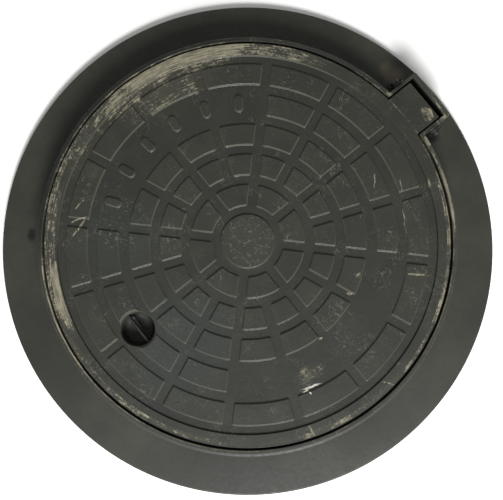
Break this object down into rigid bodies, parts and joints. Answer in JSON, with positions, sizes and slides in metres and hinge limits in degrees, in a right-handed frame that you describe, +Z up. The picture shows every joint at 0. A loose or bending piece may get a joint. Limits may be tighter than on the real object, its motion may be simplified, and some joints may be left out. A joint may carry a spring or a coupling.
{
  "type": "manhole cover",
  "caption": "Round hinged sewer manhole cover: a cast-iron frame with a wide bedding flange and a lid with a raised non-slip tread, a lifting hole with a bar, and a pinned hinge.",
  "frame": {"origin": "centre of the frame's underside, the face that is bedded on the chamber", "axes": "+Z up through the lid, +Y towards the hinge, so the lifting hole is on the -Y side"},
  "size_m": [0.8, 0.8, 0.065],
  "materials": {
    "painted_cast_iron": "sand-cast surface under a thin black bitumen coating, worn and dusty",
    "rubber": "matt",
    "steel": "steel under a thin black coating, worn at the edges"
  },
  "bodies": {
    "frame_body": {"frame": "painted_cast_iron", "seat_gasket": "rubber", "hinge_pin": "steel", "hinge_washer_left": "steel", "hinge_washer_right": "steel", "split_pin_left": "steel", "split_pin_right": "steel"},
    "lid_body": {"lid": "painted_cast_iron", "lifting_bar": "steel"}
  },
  "joints": [
    {"name": "lid_hinge", "type": "hinge", "parent": "frame_body", "child": "lid_body", "pos_m": [0, 0.346, 0.05], "axis": [-1, 0, 0], "range_deg": [0, 110]}
  ]
}
